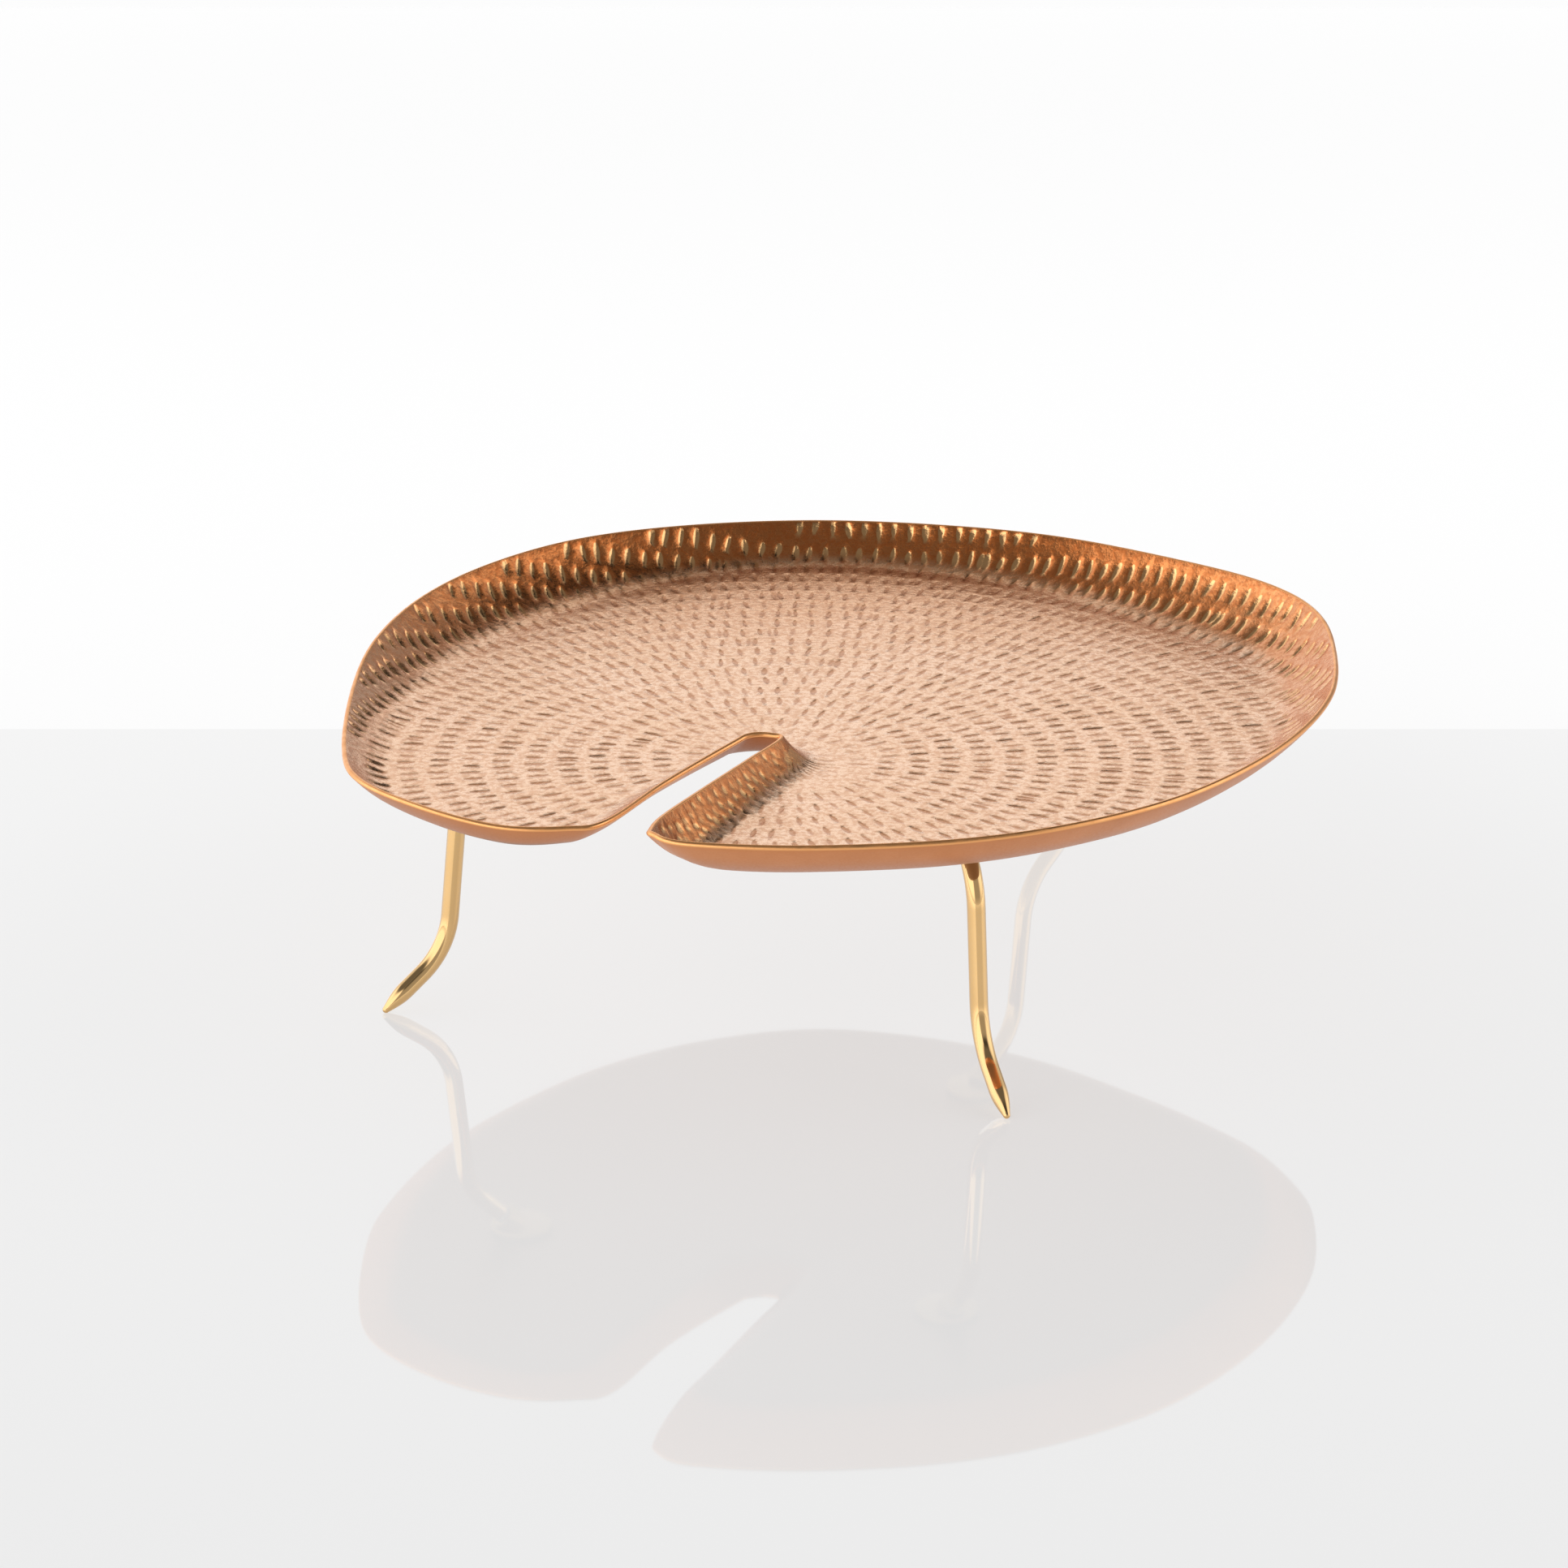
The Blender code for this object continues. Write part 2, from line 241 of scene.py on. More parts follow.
# ---- node helpers ---------------------------------------------------------------
class Graph:
    """Short ways to add nodes to one material's or the world's tree."""

    def __init__(self, owner):
        owner.use_nodes = True
        self.tree = owner.node_tree
        self.tree.nodes.clear()

    def add(self, kind, inputs=(), **settings):
        made = self.tree.nodes.new(kind)
        for name, value in settings.items():
            setattr(made, name, value)
        for key, value in dict(inputs).items():
            if isinstance(value, bpy.types.NodeSocket):
                self.tree.links.new(value, made.inputs[key])
            else:
                made.inputs[key].default_value = value
        return made

    def math(self, operation, *values):
        return self.add("ShaderNodeMath", enumerate(values), operation=operation).outputs[0]

    def smooth(self, value, low, high, start=0.0, end=1.0):
        """`start` below `low`, `end` above `high`, and an S curve in between."""
        sockets = {"Value": value, "From Min": low, "From Max": high}
        sockets.update({"To Min": start, "To Max": end})
        return self.add("ShaderNodeMapRange", sockets, interpolation_type="SMOOTHSTEP").outputs[0]

    def mix(self, factor, first, second, blend="MIX"):
        made = self.add("ShaderNodeMix", data_type="RGBA", blend_type=blend)
        for key, value in ((0, factor), (6, first), (7, second)):
            if isinstance(value, bpy.types.NodeSocket):
                self.tree.links.new(value, made.inputs[key])
            elif key:
                made.inputs[key].default_value = (*value, 1.0)
            else:
                made.inputs[key].default_value = value
        return made.outputs[2]

    def noise(self, place, scale, detail=3.0, roughness=0.55):
        sockets = {"Vector": place, "Scale": scale, "Detail": detail, "Roughness": roughness}
        return self.add("ShaderNodeTexNoise", sockets).outputs["Fac"]

    def place(self):
        """Position on the object, in metres."""
        return self.add("ShaderNodeTexCoord").outputs["Object"]

    def axes(self, vector):
        return self.add("ShaderNodeSeparateXYZ", {"Vector": vector}).outputs

    def distance(self, place, point):
        sockets = {0: place, 1: point}
        return self.add("ShaderNodeVectorMath", sockets, operation="DISTANCE").outputs["Value"]

    def bump(self, height, distance, strength, normal=None):
        sockets = {"Height": height, "Distance": distance, "Strength": strength}
        if normal is not None:
            sockets["Normal"] = normal
        return self.add("ShaderNodeBump", sockets).outputs[0]

    def shader(self, **inputs):
        """The Principled shader, joined to the output. Names have _ in place of spaces."""
        sockets = {name.replace("_", " "): value for name, value in inputs.items()}
        made = self.add("ShaderNodeBsdfPrincipled", sockets)
        self.add("ShaderNodeOutputMaterial", {"Surface": made.outputs[0]})


# ---- materials ------------------------------------------------------------------
def hammered_copper():
    """Mottled copper, with painted shade that is brown in the floor's strokes and turns it to
    bronze up the wall, and painted glints in the wall's strokes.
    """
    material = bpy.data.materials.new("hammered_copper")
    graph = Graph(material)
    place = graph.place()
    axes = graph.axes(place)
    height = axes["Z"]
    clouds = graph.noise(place, 22.0)
    mottle = graph.noise(place, 380.0, 4.0)
    speckle = graph.noise(place, 1000.0, 3.0)
    grain = graph.noise(place, 2400.0, 2.0)
    stroke = graph.add("ShaderNodeAttribute", attribute_name="stroke").outputs["Fac"]

    metal = graph.mix(graph.smooth(clouds, 0.35, 0.65), *COPPER_TONES)
    metal = graph.mix(graph.smooth(mottle, 0.42, 0.62, 0.0, 0.80), metal, COPPER_MOTTLE)
    metal = graph.mix(graph.smooth(speckle, 0.50, 0.68, 0.0, 0.50), metal, COPPER_SPECKLE)
    # painted shade: the copper grows darker towards the back
    back_shade = graph.smooth(axes["Y"], 0.04, 0.20, 0.0, 0.75)
    metal = graph.mix(back_shade, metal, BACK_SHADE_TINT, "MULTIPLY")

    struck = graph.smooth(stroke, 0.05, 0.70)
    # painted shade: the floor's strokes are darkened brown, for the dark the dents reflect
    floor_stroke_shade = graph.smooth(height, WALL_LOW, WALL_HIGH, 0.75, 0.0)
    colour = graph.mix(graph.math("MULTIPLY", struck, floor_stroke_shade), metal, STROKE_SHADE)

    # painted shade and reflection: the wall at the back and by the notch is darkened to bronze,
    # for the dark ceiling and the copper it reflects
    wall = graph.smooth(height, WALL_LOW, WALL_HIGH)
    # painted shade: the wall by the notch is darkened too
    notch_shade = graph.smooth(graph.distance(place, NOTCH_WALL), 0.060, 0.100, 1.0, 0.0)
    wall_shade_at_back = graph.smooth(axes["Y"], -0.04, 0.13, 0.40, 1.0)
    wall_shade = graph.math("MULTIPLY", wall, graph.math("MAXIMUM", notch_shade, wall_shade_at_back))
    colour = graph.mix(wall_shade, colour, WALL_SHADE_TINT, "MULTIPLY")
    # painted highlight: the wall's strokes get bright gold glints and a lower roughness
    painted_glint = graph.math("MULTIPLY", struck, graph.math("MULTIPLY", wall_shade, 0.75))
    colour = graph.mix(painted_glint, colour, GLINT_TINT)

    rough = graph.smooth(mottle, 0.3, 0.7, 0.22, 0.34)
    rough = graph.math("SUBTRACT", rough, graph.math("MULTIPLY", painted_glint, 0.12))
    normal = graph.bump(mottle, 0.0010, 0.30)
    normal = graph.bump(grain, 0.00008, 0.3, normal)
    graph.shader(
        Base_Color=colour,
        Metallic=1.0,
        Roughness=rough,
        Normal=normal,
        Coat_Weight=0.1,
        Coat_Roughness=0.22,
    )
    return material


def polished_lip():
    """The edge of the shell, filed round and buffed."""
    material = bpy.data.materials.new("polished_lip")
    graph = Graph(material)
    place = graph.place()
    wear = graph.noise(place, 180.0)
    colour = graph.mix(wear, *LIP_TONES)
    rough = graph.smooth(wear, 0.3, 0.7, 0.28, 0.42)
    normal = graph.bump(graph.noise(place, 1500.0), 0.00005, 0.4)
    graph.shader(Base_Color=colour, Metallic=1.0, Roughness=rough, Normal=normal)
    return material


def satin_copper():
    """The smooth outside of the shell, which turns darker underneath."""
    material = bpy.data.materials.new("satin_copper")
    graph = Graph(material)
    place = graph.place()
    height = graph.axes(place)["Z"]
    clouds = graph.noise(place, 30.0)
    skin = graph.noise(place, 900.0, 3.0)
    metal = graph.mix(graph.smooth(clouds, 0.3, 0.7), *SATIN_TONES)
    low = graph.smooth(height, UNDERSIDE + 0.003, UNDERSIDE + 0.014, 0.8, 0.0)
    metal = graph.mix(low, metal, SATIN_LOW)
    # painted shade: the outside is darkened round the notch's inner end, inside the narrow slot
    away = graph.distance(place, (EYE.x, EYE.y, FLOOR_TOP))
    notch_shade = graph.smooth(away, 0.020, 0.055, 1.0, 0.0)
    metal = graph.mix(notch_shade, metal, NOTCH_SHADE_TINT, "MULTIPLY")
    # darker on the underside
    under = graph.smooth(height, UNDERSIDE + 0.0002, UNDERSIDE + 0.004, 1.0, 0.0)
    colour = graph.mix(under, metal, UNDERSIDE_DARK)
    rough = graph.smooth(skin, 0.3, 0.7, 0.34, 0.44)
    normal = graph.bump(skin, 0.00008, 0.4)
    graph.shader(Base_Color=colour, Metallic=1.0, Roughness=rough, Normal=normal)
    return material


def polished_brass():
    """Mirror-polished rod with a faint haze."""
    material = bpy.data.materials.new("polished_brass")
    graph = Graph(material)
    place = graph.place()
    tone = graph.noise(place, 60.0)
    haze = graph.noise(place, 700.0, 4.0)
    colour = graph.mix(tone, *BRASS_TONES)
    rough = graph.smooth(haze, 0.35, 0.75, 0.04, 0.10)
    normal = graph.bump(haze, 0.00003, 0.25)
    graph.shader(
        Base_Color=colour,
        Metallic=1.0,
        Roughness=rough,
        Normal=normal,
        Coat_Weight=1.0,
        Coat_Roughness=0.03,
    )
    return material


def turned_brass():
    """Satin turned brass of the sockets."""
    material = bpy.data.materials.new("turned_brass")
    graph = Graph(material)
    place = graph.place()
    tone = graph.noise(place, 90.0)
    marks = graph.noise(place, 1800.0, 2.0)
    colour = graph.mix(tone, *TURNED_TONES)
    rough = graph.smooth(marks, 0.3, 0.7, 0.26, 0.38)
    normal = graph.bump(marks, 0.00006, 0.4)
    graph.shader(Base_Color=colour, Metallic=1.0, Roughness=rough, Normal=normal)
    return material


def zinc_steel():
    """Zinc-plated studs and washers."""
    material = bpy.data.materials.new("zinc_steel")
    graph = Graph(material)
    place = graph.place()
    spangle = graph.noise(place, 500.0, 3.0)
    colour = graph.mix(spangle, *ZINC_TONES)
    rough = graph.smooth(spangle, 0.3, 0.7, 0.28, 0.42)
    normal = graph.bump(spangle, 0.00004, 0.3)
    graph.shader(Base_Color=colour, Metallic=1.0, Roughness=rough, Normal=normal)
    return material


def glossy_table():
    """White gloss that is a little paler just beyond the seam, as where a backdrop begins."""
    material = bpy.data.materials.new("glossy_table")
    graph = Graph(material)
    depth = graph.axes(graph.place())["Y"]
    beyond = graph.math("GREATER_THAN", depth, TABLE_SEAM)
    fade = graph.smooth(depth, TABLE_SEAM, TABLE_BACK, SEAM_GLOW, BACK_GLOW)
    glow = graph.math("ADD", graph.math("MULTIPLY", beyond, fade), TABLE_GLOW)
    graph.shader(
        Base_Color=TABLE_GREY,
        Roughness=0.03,
        IOR=1.5,
        Emission_Color=WHITE,
        Emission_Strength=glow,
    )
    return material


# ---- studio ---------------------------------------------------------------------
def add_table():
    mesh = bpy.data.meshes.new("table")
    corners = [
        (-TABLE_SIDE, TABLE_FRONT, 0.0),
        (TABLE_SIDE, TABLE_FRONT, 0.0),
        (TABLE_SIDE, TABLE_BACK, 0.0),
        (-TABLE_SIDE, TABLE_BACK, 0.0),
    ]
    mesh.from_pydata(corners, [], [(0, 1, 2, 3)])
    mesh.materials.append(glossy_table())
    table = bpy.data.objects.new("table", mesh)
    bpy.context.scene.collection.objects.link(table)


def add_studio_light():
    """A white room with a dark ceiling, soft boxes at both sides and two dark panels."""
    world = bpy.data.worlds.new("studio")
    bpy.context.scene.world = world
    graph = Graph(world)
    direction = graph.add("ShaderNodeTexCoord").outputs["Generated"]
    x, y, z = graph.axes(direction)[:3]
    turn = graph.math("ARCTAN2", x, graph.math("MULTIPLY", y, -1.0))  # 0 towards -Y
    rise = graph.math("ARCSINE", z)

    def patch(side, half_width, low, high, blur, strength):
        off = graph.math("ABSOLUTE", graph.math("SUBTRACT", turn, side))
        across = graph.smooth(off, half_width - blur, half_width + blur, 1.0, 0.0)
        above = graph.smooth(rise, low - blur, low + blur)
        below = graph.smooth(rise, high - blur, high + blur, 1.0, 0.0)
        inside = graph.math("MULTIPLY", across, graph.math("MULTIPLY", above, below))
        return graph.math("MULTIPLY", inside, strength)

    room = graph.smooth(rise, 0.50, 0.92, 1.08, 0.20)
    below = graph.smooth(rise, -0.12, 0.10, -0.10, 0.0)
    total = graph.math("ADD", room, below)
    for panel in PANELS:
        total = graph.math("ADD", total, patch(*panel))
    total = graph.math("MAXIMUM", total, DIMMEST)
    light = graph.add("ShaderNodeBackground", {"Strength": total, "Color": WHITE})
    graph.add("ShaderNodeOutputWorld", {"Surface": light.outputs[0]})
    bpy.context.scene.view_settings.view_transform = "Standard"


# ---- the dish -------------------------------------------------------------------
def smooth_loop(points, places):
    """The closed Catmull-Rom curve through `points`, at each of `places` in knots."""
    points = np.array(points, float)
    index = np.floor(places).astype(int)
    t = (places - index)[:, None]
    before, start, end, after = (points[(index + k) % len(points)] for k in (-1, 0, 1, 2))
    return 0.5 * (
        2 * start
        + (end - before) * t
        + (2 * before - 5 * start + 4 * end - after) * t**2
        + (3 * start - before - 3 * end + after) * t**3
    )


def outline():
    """Rim points (x, y, z), foot points (x, y) and knots, at even steps along the rim."""
    rim_rows = np.array([row[0] for row in LEAF], float) * MM
    foot_rows = np.array([row[1] for row in LEAF], float) * MM
    fine = np.linspace(0, len(LEAF), len(LEAF) * 80 + 1)
    steps = np.linalg.norm(np.diff(smooth_loop(rim_rows, fine), axis=0), axis=1)
    along = np.concatenate([[0.0], np.cumsum(steps)])
    count = int(along[-1] / STATION_SPACING)
    places = np.interp(np.arange(count) * along[-1] / count, along, fine)
    return smooth_loop(rim_rows, places), smooth_loop(foot_rows, places), places


def ease(value, low, high):
    """0 below `low`, 1 above `high`, and an S curve in between."""
    t = min(max((value - low) / (high - low), 0.0), 1.0)
    return t * t * (3 - 2 * t)


def unit(rows):
    return rows / np.linalg.norm(rows, axis=-1, keepdims=True)


def wall_rows(rim, foot, steps):
    """Points of the parabolic wall, from the rim (step 0) to the floor (step 1)."""
    rows = []
    for step in steps:
        plan = rim[:, :2] * (1 - step) + foot * step
        height = FLOOR_TOP + (rim[:, 2] - FLOOR_TOP) * (1 - step) ** 2
        rows.append(np.column_stack([plan, height]))
    return np.array(rows)


def wall_normals(rows):
    """Unit normals into the dish, for rows of points that run from the rim inwards."""
    along = np.roll(rows, -1, axis=1) - np.roll(rows, 1, axis=1)
    inward = np.gradient(rows, axis=0)
    return unit(np.cross(along, inward))


class DishSurface:
    """The plain upper face, to be asked for the point and normal above a place in plan."""

    def __init__(self, rim, foot, knots):
        self.knots = knots
        steps = np.linspace(0, 1, 25)
        rows = wall_rows(rim, foot, steps)
        count = len(rim)
        faces = []
        for row in range(len(steps) - 1):
            for k in range(count):
                after = (k + 1) % count
                low, high = row * count, (row + 1) * count
                faces.append((low + k, low + after, high + after, high + k))
        last = (len(steps) - 1) * count
        faces.append(tuple(last + k for k in range(count)))
        self.tree = BVHTree.FromPolygons(rows.reshape(-1, 3).tolist(), faces)
        self.rim_tree = KDTree(count)
        for k, point in enumerate(rim):
            self.rim_tree.insert(point, k)
        self.rim_tree.balance()

    def at(self, x, y):
        """(point, normal) on the surface, or (None, None) outside the leaf."""
        point, normal, _, _ = self.tree.ray_cast(Vector((x, y, 1.0)), Vector((0, 0, -1)))
        if point is None:
            return None, None
        return point, normal if normal.z > 0 else -normal

    def from_rim(self, point):
        return self.rim_tree.find(point)[2]

    def liveliness(self, point):
        """How boldly the metal is struck: faintly at the eye and by the notch's edges."""
        out = (point.xy - EYE).length
        bold = 0.45 + 0.55 * ease(out, 0.018, 0.070)
        _, station, away = self.rim_tree.find(point)
        if NOTCH_LEFT_KNOTS[0] < self.knots[station] < NOTCH_LEFT_KNOTS[1]:
            bold *= 0.25 + 0.75 * ease(away, 0.012, 0.028)
        if NOTCH_RIGHT_KNOTS[0] < self.knots[station] < NOTCH_RIGHT_KNOTS[1]:
            bold *= ease(away, 0.018, 0.024)
        return bold


class Outline:
    """The leaf's outline in plan, to be asked whether a point lies inside it."""

    def __init__(self, loop):
        self.start = loop[:, :2]
        self.end = np.roll(self.start, -1, axis=0)

    def holds(self, point):
        over = (self.start[:, 1] > point.y) != (self.end[:, 1] > point.y)
        start, end = self.start[over], self.end[over]
        share = (point.y - start[:, 1]) / (end[:, 1] - start[:, 1])
        crossings = start[:, 0] + share * (end[:, 0] - start[:, 0]) > point.x
        return bool(crossings.sum() % 2)


class Stroke:
    """One mark of the hammer: a spindle-shaped stroke, a pit or a long crease."""

    def __init__(self, centre, normal, direction, length, width, depth):
        self.centre = centre
        self.normal = normal
        self.along = (direction - normal * direction.dot(normal)).normalized()
        self.across = normal.cross(self.along)
        self.half_length = length / 2
        self.half_width = width / 2
        self.depth = depth

    def share(self, point):
        """Share of the stroke's depth at a point: 1 in the middle, 0 outside it."""
        offset = point - self.centre
        v = offset.dot(self.along) / self.half_length
        if abs(v) >= 1:
            return 0.0
        room = 1 - v * v
        u = offset.dot(self.across) / (self.half_width * room**0.45)
        if abs(u) >= 1:
            return 0.0
        return room**0.4 * (1 - u * u)

    def points(self):
        """Places on the mark that lie close enough together for its shape to show."""
        places = []
        rows = max(int(self.half_length / 0.0010), 5)
        for row in range(rows):
            v = 0.82 * (2 * row / (rows - 1) - 1)
            width = self.half_width * (1 - v * v) ** 0.45
            middle = self.centre + self.along * v * self.half_length
            for u in (-1.0, -0.5, 0.0, 0.5, 1.0):
                places.append(middle + self.across * u * width)
        for v in (-1.0, 1.0):
            end = self.centre + self.along * v * self.half_length
            places.append(end)
            for u in (-0.25, 0.0, 0.25):
                short = self.along * v * 0.05 * self.half_length
                places.append(end - short + self.across * u * self.half_width)
        return places


def walk(surface, heading, distance):
    """The place that far out from the eye along the metal, which climbs the outer wall."""
    step = 0.002
    gone = 0.0
    reach = 0.0
    last_height = None
    while gone < distance:
        stride = min(step, distance - gone)
        x = EYE.x + heading.x * (reach + stride)
        y = EYE.y + heading.y * (reach + stride)
        point, _ = surface.at(x, y)
        climb = 0.0
        if point is not None and last_height is not None:
            climb = max(point.z - last_height, 0.0)
        reach += stride * stride / math.hypot(stride, climb) if climb > 0 else stride
        gone += stride
        last_height = None if point is None else point.z
    return Vector((EYE.x + heading.x * reach, EYE.y + heading.y * reach))


def make_strokes(surface):
    """The strokes in rings round the inner end of the notch."""
    rng = random.Random(SEED)
    strokes = []
    for ring in range(RINGS):
        distance = RING_START + ring * RING_PITCH
        count = max(int(round(2 * math.pi * distance / STROKE_SPACING)), 1)
        first = rng.random()
        for k in range(count):
            angle = 2 * math.pi * (k + first + rng.uniform(-0.10, 0.10)) / count
            out = distance + rng.uniform(-0.0009, 0.0009)
            length = STROKE_LENGTH * rng.uniform(0.82, 1.12)
            width = STROKE_WIDTH * rng.uniform(0.80, 1.20)
            depth = STROKE_DEPTH * rng.uniform(0.65, 1.25)
            twist = rng.gauss(0.0, STROKE_TWIST)
            twin = rng.random() < TWIN_SHARE
            heading = Vector((math.cos(angle), math.sin(angle)))
            place = walk(surface, heading, out)
            point, normal = surface.at(place.x, place.y)
            if point is None or surface.from_rim(point) < STROKE_MARGIN:
                continue
            from_corner = point.xy - FAN_CORNER
            if from_corner.length < FAN_REACH and from_corner.x > 0 > from_corner.y:
                continue
            depth *= surface.liveliness(point)
            if normal.z < STEEP:
                depth *= WALL_BOOST
                width *= WALL_WIDENING
            aim = heading.copy()
            aim.rotate(Matrix.Rotation(twist, 2))
            direction = Vector((aim.x, aim.y, 0.0))
            strokes.append(Stroke(point, normal, direction, length, width, depth))
            if twin:
                beside = place + Vector((-aim.y, aim.x)) * STROKE_WIDTH * 0.9
                point, normal = surface.at(beside.x, beside.y)
                if point is not None:
                    strokes.append(Stroke(point, normal, direction, length, width, depth * 0.7))
    return strokes


def make_pits(surface, rim, foot, knots):
    """Round blows of the hammer, in staggered rows on the wall at the notch's right."""
    rng = random.Random(SEED + 3)
    pits = []
    stations = [
        k for k in range(len(rim)) if NOTCH_RIGHT_KNOTS[0] < knots[k] < NOTCH_RIGHT_KNOTS[1]
    ]
    for row, share in enumerate(PIT_ROWS):
        for k in stations[2 * (row % 2) :: PIT_STEP]:
            spot = rim[k][:2] + (foot[k] - rim[k][:2]) * (share + rng.uniform(-0.07, 0.07))
            point, normal = surface.at(spot[0] + rng.uniform(-0.0012, 0.0012), spot[1])
            if point is None:
                continue
            inward = Vector((*(foot[k] - rim[k][:2]), 0.0))
            length = rng.uniform(0.0042, 0.0056)
            depth = rng.uniform(0.00014, 0.00034)
            pits.append(Stroke(point, normal, inward, length, length * 0.9, depth))
    return pits


def make_creases(surface):
    """Fine long creases that fan out over the wall at the notch's right-hand corner."""
    rng = random.Random(SEED + 2)
    creases = []
    for k in range(CREASES):
        angle = math.radians(-6 - 9 * k + rng.uniform(-1.5, 1.5))
        heading = Vector((math.cos(angle), math.sin(angle)))
        middle = FAN_CORNER + heading * rng.uniform(0.0120, 0.0140)
        point, normal = surface.at(middle.x, middle.y)
        if point is None:
            continue
        direction = Vector((heading.x, heading.y, 0.0))
        length = rng.uniform(0.027, 0.034)
        creases.append(Stroke(point, normal, direction, length, CREASE_WIDTH, CREASE_DEPTH))
    return creases


def fill_points(surface, taken, rim_inner):
    """A loose triangular lattice between the strokes."""
    near = KDTree(len(taken))
    for k, place in enumerate(taken):
        near.insert((place.x, place.y, 0.0), k)
    near.balance()
    low = rim_inner.min(axis=0)
    high = rim_inner.max(axis=0)
    rng = random.Random(SEED + 1)
    made = []
    row_height = FILL_SPACING * math.sqrt(3) / 2
    rows = int((high[1] - low[1]) / row_height) + 1
    columns = int((high[0] - low[0]) / FILL_SPACING) + 1
    for row in range(rows):
        for column in range(columns):
            x = low[0] + (column + 0.5 * (row % 2) + rng.uniform(-0.12, 0.12)) * FILL_SPACING
            y = low[1] + (row + rng.uniform(-0.12, 0.12)) * row_height
            if near.find((x, y, 0.0))[2] < FILL_CLEARANCE:
                continue
            point, _ = surface.at(x, y)
            if point is not None and surface.from_rim(point) > FILL_MARGIN:
                made.append(point)
    return made


def lip_profile():
    """(up the wall, along the normal) of each row of the lip, from inside to outside."""
    r = LIP_FILLET
    turns = [math.radians(22.5 * k) for k in range(5)]
    inner = [(-r + r * math.sin(t), -r + r * math.cos(t)) for t in turns]
    outer = [(up, -SHELL - along) for up, along in reversed(inner)]
    return inner + [(LIP_CROWN, -SHELL / 2)] + outer


def lip_rows(rim, foot):
    """Rows of points over the lip, from the edge of the upper face to the outside."""
    first_rows = wall_rows(rim, foot, (0.0, 0.01))
    up = unit(first_rows[0] - first_rows[1])
    ahead = unit(np.roll(rim, -1, axis=0) - np.roll(rim, 1, axis=0))
    inward = unit(np.cross(up, ahead))
    return np.array([rim + up * t + inward * n for t, n in lip_profile()])


def outside_rows(rim, foot):
    """Rows of points down the smooth outside, one shell's thickness from the upper face."""
    rows = wall_rows(rim, foot, np.linspace(0, 1, 11) ** 1.1)
    outer = rows - wall_normals(rows) * SHELL
    outer[-1][:, 2] = UNDERSIDE
    return outer[1:]


def triangulate(surface, strokes, edge):
    """The upper face in plan: its points, the triangles, and the places each came from.

    The first places are those of `edge`. The other ones lie on the strokes and between.
    """
    count = len(edge)
    places = [Vector(row) for row in edge]
    for stroke in strokes:
        for place in stroke.points():
            point, _ = surface.at(place.x, place.y)
            if point is not None and surface.from_rim(point) > POINT_MARGIN:
                places.append(point)
    places += fill_points(surface, places, edge)
    loop = [(k, (k + 1) % count) for k in range(count)]
    flat = [Vector((p.x, p.y)) for p in places]
    made, _, triangles, sources, _, _ = delaunay_2d_cdt(flat, loop, [], 0, 1e-6, True)
    return made, triangles, sources


def struck(surface, point, normal, close):
    """A point of the upper face as the hammer left it, and how deep a mark it lies in."""
    depth = max([stroke.share(point) * stroke.depth for stroke in close], default=0.0)
    edge = min(surface.from_rim(point) / CALM_EDGE, 1.0)
    swell = noise.noise(point * 70.0) * 0.00014 + noise.noise(point * 210.0) * 0.00007
    point = point + normal * ((swell - depth) * edge)
    return tuple(point), min(depth / STROKE_DEPTH, 1.0) * edge


